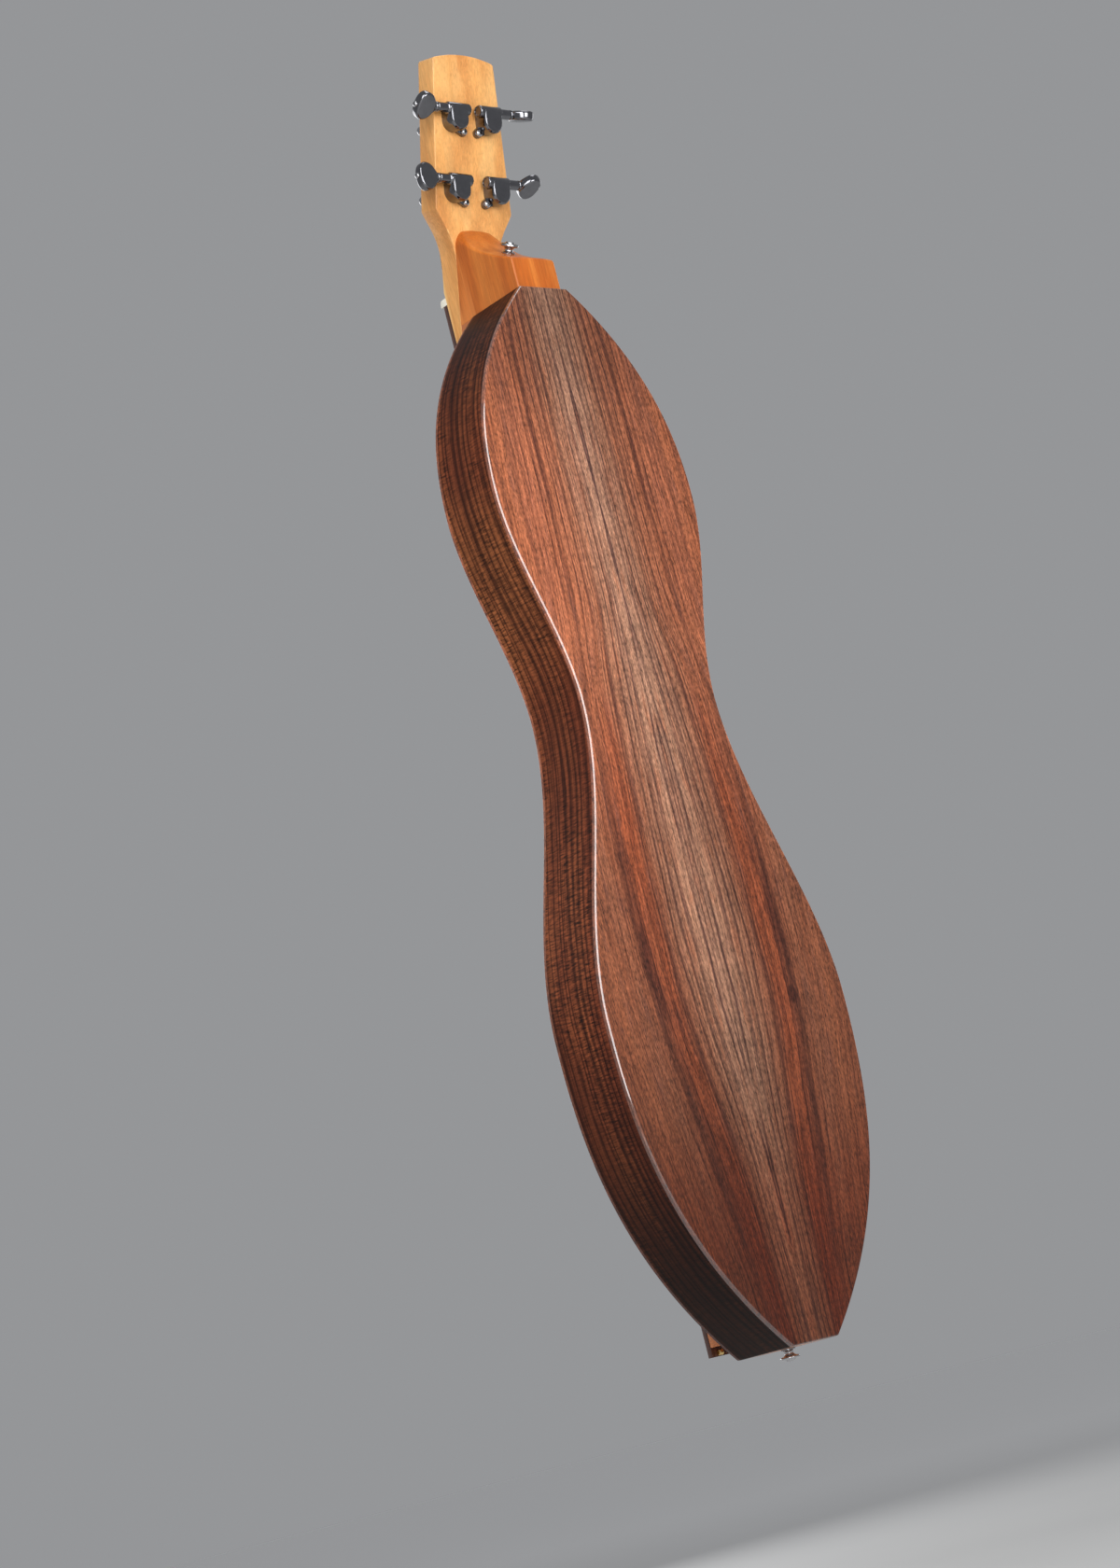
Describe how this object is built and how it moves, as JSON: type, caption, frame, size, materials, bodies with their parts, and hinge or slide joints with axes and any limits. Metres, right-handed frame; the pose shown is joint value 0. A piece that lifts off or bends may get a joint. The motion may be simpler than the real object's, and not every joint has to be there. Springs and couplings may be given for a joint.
{
  "type": "mountain dulcimer",
  "caption": "Hourglass fretted zither with a flat bookmatched back, raised fretboard, tilted headstock, geared tuners and strap buttons.",
  "frame": {"origin": "middle of the body's flat tail end: on the centre line, half way between the outside of the back and the outside of the soundboard", "axes": "+Z from the tail to the head along the body, +Y from the flat back towards the strings, +X to the right of someone who looks at the back with the head up"},
  "size_m": [0.21, 0.0812, 0.8883],
  "materials": {
    "walnut_back": "satin oil over open grain",
    "walnut_side": "satin oil over open grain",
    "spruce": "bare, sanded",
    "cherry": "satin lacquer",
    "light_cherry": "satin lacquer",
    "rosewood": "oiled",
    "bone": "polished",
    "chrome": "polished",
    "nickel_silver": "polished",
    "string_steel": "drawn wire"
  },
  "bodies": {
    "instrument": {"back_left": "walnut_back", "back_right": "walnut_back", "soundboard": "walnut_back", "side_left": "walnut_side", "side_right": "walnut_side", "back_brace_lower": "spruce", "back_brace_upper": "spruce", "top_brace_lower": "spruce", "top_brace_upper": "spruce", "lining_back_left": "spruce", "lining_back_right": "spruce", "lining_top_left": "spruce", "lining_top_right": "spruce", "head_block": "cherry", "tail_block": "cherry", "fretboard_stick": "cherry", "headstock": "light_cherry", "fingerboard": "rosewood", "nut": "bone", "saddle": "bone", "fret_01": "nickel_silver", "fret_02": "nickel_silver", "fret_03": "nickel_silver", "fret_04": "nickel_silver", "fret_05": "nickel_silver", "fret_06": "nickel_silver", "fret_06_half": "nickel_silver", "fret_07": "nickel_silver", "fret_08": "nickel_silver", "fret_09": "nickel_silver", "fret_10": "nickel_silver", "fret_11": "nickel_silver", "string_melody_outer": "string_steel", "string_melody_inner": "string_steel", "string_middle": "string_steel", "string_bass": "string_steel", "strap_button_head": "chrome", "strap_screw_head": "chrome", "strap_button_tail": "chrome", "strap_screw_tail": "chrome", "tuner_upper_left_housing": "chrome", "tuner_upper_left_bushing": "chrome", "tuner_upper_left_screw": "chrome", "tuner_upper_right_housing": "chrome", "tuner_upper_right_bushing": "chrome", "tuner_upper_right_screw": "chrome", "tuner_lower_left_housing": "chrome", "tuner_lower_left_bushing": "chrome", "tuner_lower_left_screw": "chrome", "tuner_lower_right_housing": "chrome", "tuner_lower_right_bushing": "chrome", "tuner_lower_right_screw": "chrome"},
    "upper_left_button": {"tuner_upper_left_button_shaft": "chrome"},
    "upper_left_string_post": {"tuner_upper_left_post": "chrome"},
    "upper_right_button": {"tuner_upper_right_button_shaft": "chrome"},
    "upper_right_string_post": {"tuner_upper_right_post": "chrome"},
    "lower_left_button": {"tuner_lower_left_button_shaft": "chrome"},
    "lower_left_string_post": {"tuner_lower_left_post": "chrome"},
    "lower_right_button": {"tuner_lower_right_button_shaft": "chrome"},
    "lower_right_string_post": {"tuner_lower_right_post": "chrome"}
  },
  "joints": [
    {"name": "upper_left_button_turn", "type": "hinge", "parent": "instrument", "child": "upper_left_button", "pos_m": [-0.0148, -0.00288, 0.83765], "axis": [1, 0, 0], "continuous": true},
    {"name": "upper_left_post_turn", "type": "hinge", "parent": "instrument", "child": "upper_left_string_post", "pos_m": [-0.0148, 0.00475, 0.83209], "axis": [0, -0.9681, -0.2504], "continuous": true},
    {"name": "upper_right_button_turn", "type": "hinge", "parent": "instrument", "child": "upper_right_button", "pos_m": [0.0148, -0.00288, 0.83765], "axis": [1, 0, 0], "continuous": true},
    {"name": "upper_right_post_turn", "type": "hinge", "parent": "instrument", "child": "upper_right_string_post", "pos_m": [0.0148, 0.00475, 0.83209], "axis": [0, -0.9681, -0.2504], "continuous": true},
    {"name": "lower_left_button_turn", "type": "hinge", "parent": "instrument", "child": "lower_left_button", "pos_m": [-0.0175, 0.00901, 0.79167], "axis": [1, 0, 0], "continuous": true},
    {"name": "lower_left_post_turn", "type": "hinge", "parent": "instrument", "child": "lower_left_string_post", "pos_m": [-0.0175, 0.01665, 0.7861], "axis": [0, -0.9681, -0.2504], "continuous": true},
    {"name": "lower_right_button_turn", "type": "hinge", "parent": "instrument", "child": "lower_right_button", "pos_m": [0.0175, 0.00901, 0.79167], "axis": [1, 0, 0], "continuous": true},
    {"name": "lower_right_post_turn", "type": "hinge", "parent": "instrument", "child": "lower_right_string_post", "pos_m": [0.0175, 0.01665, 0.7861], "axis": [0, -0.9681, -0.2504], "continuous": true}
  ],
  "couplings": [
    {"joint": "upper_left_post_turn", "follows": "upper_left_button_turn", "ratio": -0.071429},
    {"joint": "upper_right_post_turn", "follows": "upper_right_button_turn", "ratio": 0.071429},
    {"joint": "lower_left_post_turn", "follows": "lower_left_button_turn", "ratio": -0.071429},
    {"joint": "lower_right_post_turn", "follows": "lower_right_button_turn", "ratio": 0.071429}
  ]
}
